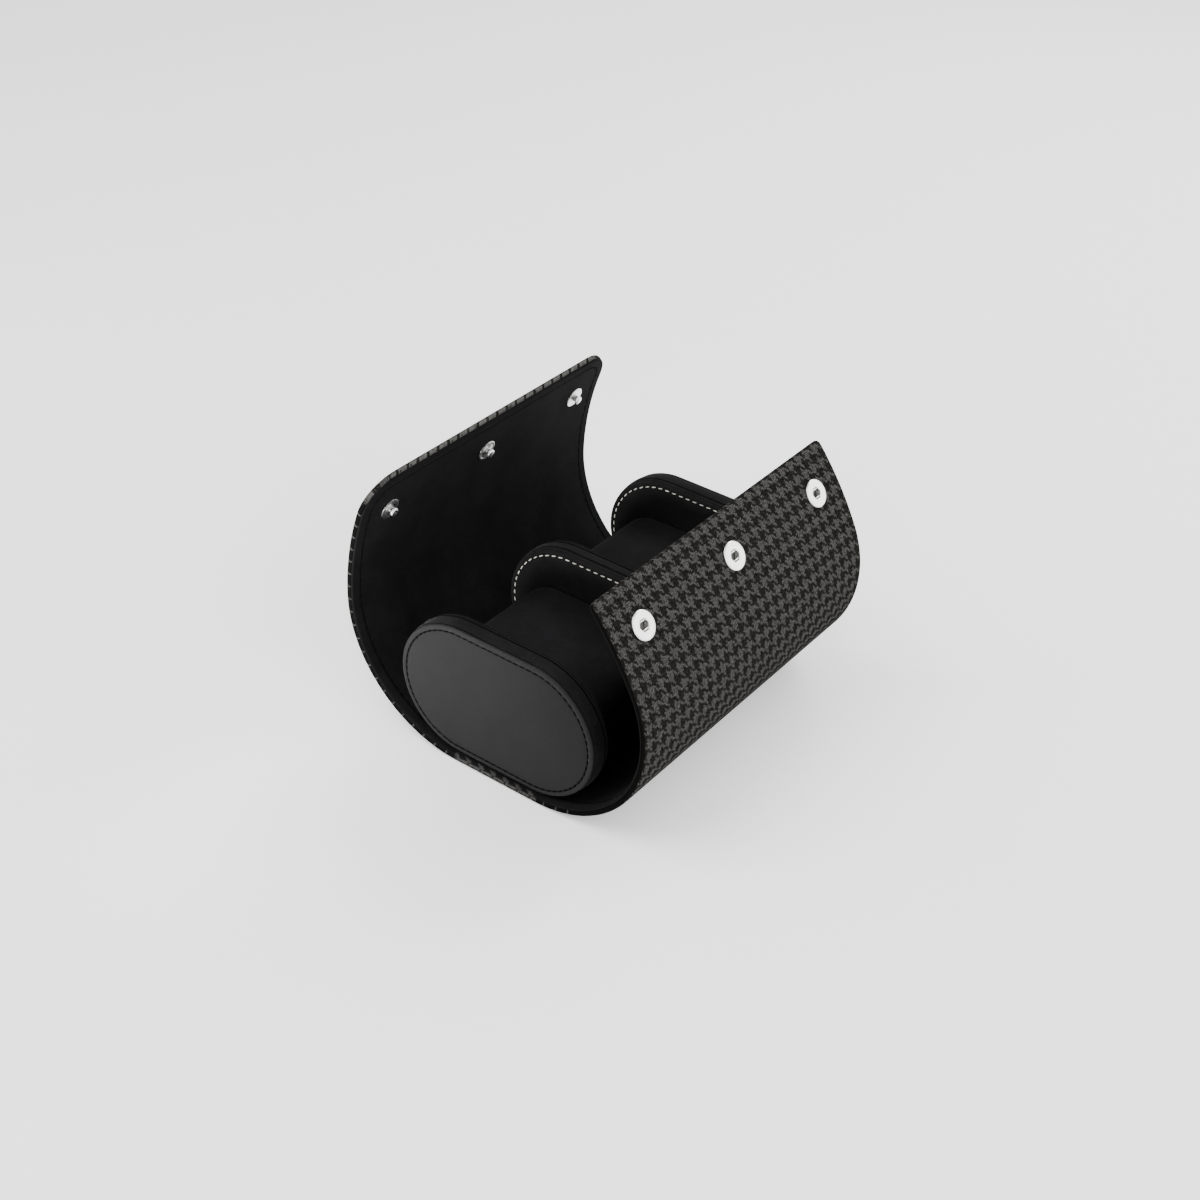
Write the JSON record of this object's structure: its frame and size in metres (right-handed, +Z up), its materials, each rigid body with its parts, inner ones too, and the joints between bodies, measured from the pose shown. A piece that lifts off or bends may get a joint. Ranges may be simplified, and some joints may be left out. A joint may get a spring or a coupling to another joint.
{
  "type": "watch roll",
  "caption": "Open watch roll: a stiff houndstooth sheet with a suede lining wraps round padded dividers with soft cushions between them; its two curved flaps close with press snaps.",
  "frame": {"origin": "on the table under the dividers' axis, midway along the roll", "axes": "+Z up, +Y along the roll away from the leather face that the picture shows, +X towards the front flap that carries the sockets"},
  "size_m": [0.1416, 0.1458, 0.1077],
  "materials": {
    "woven_cover": "woven black and charcoal houndstooth, matte",
    "board": "plain",
    "lining": "microsuede, matte",
    "suede": "suede, matte",
    "cushion_suede": "suede, matte",
    "grey_leather": "smooth, satin",
    "foam": "open-cell foam",
    "cream_thread": "waxed thread",
    "dark_thread": "waxed thread",
    "nickel": "polished nickel"
  },
  "bodies": {
    "base": {"base_cover": "woven_cover", "base_board": "board", "base_lining": "lining", "near_divider_band": "suede", "near_divider_core": "foam", "near_divider_leather": "grey_leather", "near_divider_face": "suede", "near_divider_stitches": "cream_thread", "middle_divider_band": "suede", "middle_divider_core": "foam", "middle_divider_faces": "suede", "middle_divider_stitches": "cream_thread", "far_divider_band": "suede", "far_divider_core": "foam", "far_divider_leather": "grey_leather", "far_divider_face": "suede", "far_divider_stitches": "cream_thread", "leather_stitches": "dark_thread"},
    "lid_root": {"lid_root_cover": "woven_cover", "lid_root_board": "board", "lid_root_lining": "lining"},
    "lid_middle": {"lid_middle_cover": "woven_cover", "lid_middle_board": "board", "lid_middle_lining": "lining"},
    "lid_tip": {"lid_tip_cover": "woven_cover", "lid_tip_board": "board", "lid_tip_lining": "lining", "lid_studs": "nickel", "lid_stud_rivets": "nickel"},
    "front_root": {"front_root_cover": "woven_cover", "front_root_board": "board", "front_root_lining": "lining"},
    "front_middle": {"front_middle_cover": "woven_cover", "front_middle_board": "board", "front_middle_lining": "lining"},
    "front_tip": {"front_tip_cover": "woven_cover", "front_tip_board": "board", "front_tip_lining": "lining", "front_sockets": "nickel", "front_socket_springs": "nickel", "front_socket_rivets": "nickel"},
    "near_cushion": {"near_cushion_sleeve": "cushion_suede", "near_cushion_foam": "foam", "near_cushion_caps": "cushion_suede"},
    "far_cushion": {"far_cushion_sleeve": "cushion_suede", "far_cushion_foam": "foam", "far_cushion_caps": "cushion_suede"}
  },
  "joints": [
    {"name": "lid_fold", "type": "hinge", "parent": "base", "child": "lid_root", "pos_m": [-0.03377, 0, 0.00236], "axis": [0, -1, 0], "range_deg": [-24.01, 0]},
    {"name": "lid_curl", "type": "hinge", "parent": "lid_root", "child": "lid_middle", "pos_m": [-0.0623, 0, 0.0232], "axis": [0, -1, 0], "range_deg": [-23.1, 10]},
    {"name": "lid_tip_curl", "type": "hinge", "parent": "lid_middle", "child": "lid_tip", "pos_m": [-0.07129, 0, 0.06421], "axis": [0, -1, 0], "range_deg": [-23.58, 10.21]},
    {"name": "front_fold", "type": "hinge", "parent": "base", "child": "front_root", "pos_m": [0.02876, 0, 0.00065], "axis": [0, 1, 0], "range_deg": [-19.5, 0]},
    {"name": "front_curl", "type": "hinge", "parent": "front_root", "child": "front_middle", "pos_m": [0.05716, 0, 0.01621], "axis": [0, 1, 0], "range_deg": [-19.4, 10]},
    {"name": "front_tip_curl", "type": "hinge", "parent": "front_middle", "child": "front_tip", "pos_m": [0.06969, 0, 0.04809], "axis": [0, 1, 0], "range_deg": [-18.7, 9.64]},
    {"name": "near_cushion_lift", "type": "slide", "parent": "base", "child": "near_cushion", "axis": [0, 0, 1], "range_m": [0, 0.07]},
    {"name": "far_cushion_lift", "type": "slide", "parent": "base", "child": "far_cushion", "axis": [0, 0, 1], "range_m": [0, 0.07]}
  ],
  "couplings": [
    {"joint": "lid_tip_curl", "follows": "lid_curl", "ratio": 1.0208},
    {"joint": "front_tip_curl", "follows": "front_curl", "ratio": 0.96392}
  ]
}
